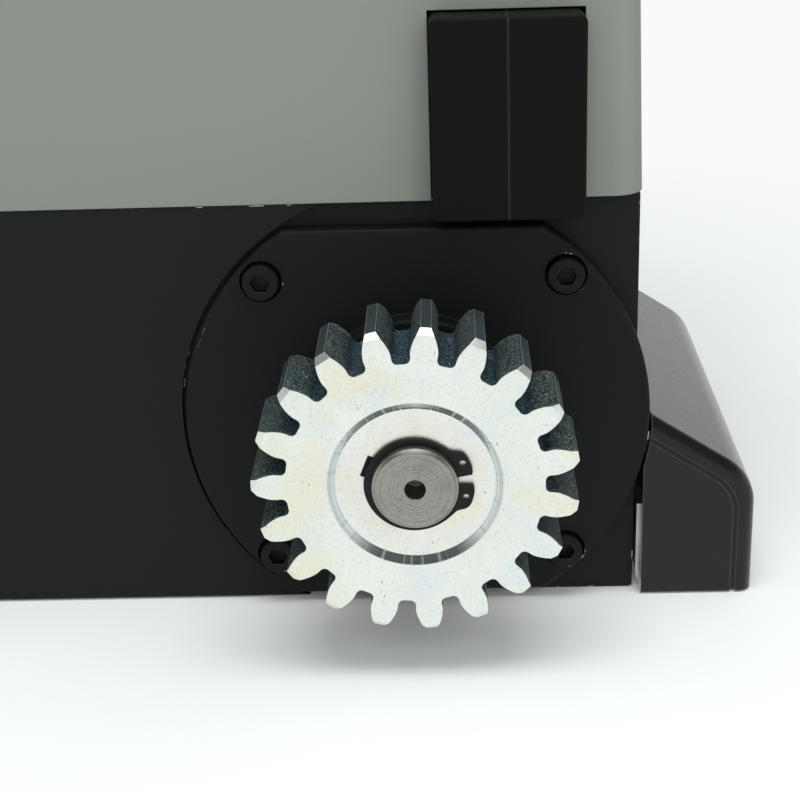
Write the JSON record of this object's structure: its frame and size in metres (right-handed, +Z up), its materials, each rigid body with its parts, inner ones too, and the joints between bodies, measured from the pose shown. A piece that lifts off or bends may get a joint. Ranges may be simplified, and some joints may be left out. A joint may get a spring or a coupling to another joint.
{
  "type": "sliding gate motor",
  "caption": "Sliding gate operator: rack pinion on a worm gearbox, tall moulded cover over the motor, side feet, limit sensor block and a hand release lever.",
  "frame": {"origin": "middle of the housing's footprint, on the ground plane that the housing and feet stand on", "axes": "+X to the right seen from the pinion side, +Y away from the rack towards the release lever, +Z up"},
  "size_m": [0.268, 0.2531, 0.262],
  "materials": {
    "housing_paint": "satin black paint on die-cast metal",
    "cover_grey": "matt warm grey moulding",
    "black_moulding": "matt black moulding",
    "foot_moulding": "satin charcoal moulding",
    "zinc_sheet": "bright zinc plate",
    "pinion_zinc": "zinc plated, turned faces",
    "ground_steel": "ground and turned steel",
    "black_screw": "black oxide",
    "bright_screw": "zinc plated",
    "bearing_steel": "ground bearing steel",
    "bronze": "machined bronze",
    "iron": "machined cast iron",
    "seal_rubber": "matt black rubber",
    "cast_aluminium": "as cast and machined",
    "laminations": "varnished steel laminations",
    "copper": "enamelled copper wire",
    "grey_can": "light grey can",
    "board_green": "green solder mask",
    "terminal_green": "green moulding",
    "white_moulding": "white moulding",
    "lever_red": "satin red moulding"
  },
  "bodies": {
    "base": {"housing": "housing_paint", "gearbox_cover_plate": "housing_paint", "cover_plate_seal": "seal_rubber", "cover_plate_screws": "black_screw", "shaft_seal": "seal_rubber", "front_bearing_outer": "bearing_steel", "rear_bearing_outer": "bearing_steel", "worm_lower_bearing_outer": "bearing_steel", "worm_upper_bearing_outer": "bearing_steel", "motor_top_bearing_outer": "bearing_steel", "motor_flange": "cast_aluminium", "motor_flange_screws": "bright_screw", "stator_core": "laminations", "stator_windings": "copper", "motor_end_shield": "cast_aluminium", "motor_tie_bolts": "bright_screw", "top_cover": "cover_grey", "top_cover_screws": "black_screw", "cover_gasket": "seal_rubber", "limit_switch_case_left": "black_moulding", "limit_switch_case_right": "black_moulding", "limit_switch_sensor": "board_green", "limit_switch_screws": "bright_screw", "foot_bracket_right": "zinc_sheet", "foot_bracket_left": "zinc_sheet", "foot_bracket_screws": "bright_screw", "foot_cover_right": "foot_moulding", "foot_cover_left": "foot_moulding", "release_bracket": "housing_paint", "release_bracket_screws": "black_screw", "lever_pivot_pin": "ground_steel", "run_capacitor": "grey_can", "capacitor_clip": "zinc_sheet", "transformer": "laminations", "board_carrier": "white_moulding", "circuit_board": "board_green", "terminal_blocks": "terminal_green", "board_screws": "bright_screw", "cable_grommet": "seal_rubber"},
    "output": {"output_shaft": "ground_steel", "pinion": "pinion_zinc", "pinion_key": "ground_steel", "pinion_circlip": "ground_steel", "front_bearing_inner": "bearing_steel", "rear_bearing_inner": "bearing_steel", "clutch_spring": "bearing_steel"},
    "clutch": {"clutch_sleeve": "ground_steel", "clutch_pin": "ground_steel", "release_rod": "ground_steel"},
    "wheel": {"worm_wheel_rim": "bronze", "worm_wheel_hub": "iron", "worm_wheel_bush": "bronze"},
    "rotor": {"worm_shaft": "ground_steel", "rotor": "laminations", "worm_lower_bearing_inner": "bearing_steel", "worm_upper_bearing_inner": "bearing_steel", "motor_top_bearing_inner": "bearing_steel"},
    "lever": {"release_lever": "lever_red"},
    "lock": {"lock_barrel": "bearing_steel"}
  },
  "joints": [
    {"name": "rotor_spin", "type": "hinge", "parent": "base", "child": "rotor", "pos_m": [-0.021, -0.035, 0.0563], "axis": [0, 0, 1], "continuous": true},
    {"name": "output_spin", "type": "hinge", "parent": "base", "child": "output", "pos_m": [0.039, -0.124, 0.0563], "axis": [0, 1, 0], "continuous": true},
    {"name": "wheel_spin", "type": "hinge", "parent": "base", "child": "wheel", "pos_m": [0.039, -0.035, 0.0563], "axis": [0, 1, 0], "continuous": true},
    {"name": "lever_swing", "type": "hinge", "parent": "base", "child": "lever", "pos_m": [0.039, 0.106, 0.0563], "axis": [0, 0, -1], "range_deg": [0, 90], "stiffness_Nm_per_rad": 0.02, "springref_deg": -60.16},
    {"name": "clutch_slide", "type": "slide", "parent": "output", "child": "clutch", "axis": [0, -1, 0], "range_m": [0, 0.006], "deforming": ["clutch_spring"]},
    {"name": "lock_turn", "type": "hinge", "parent": "lever", "child": "lock", "pos_m": [-0.009, 0.106, 0.0563], "axis": [0, 1, 0], "range_deg": [0, 90]}
  ],
  "couplings": [
    {"joint": "output_spin", "follows": "rotor_spin", "ratio": -0.033333},
    {"joint": "wheel_spin", "follows": "rotor_spin", "ratio": -0.033333},
    {"joint": "clutch_slide", "follows": "lever_swing", "m_per_rad": 0.0038197}
  ]
}
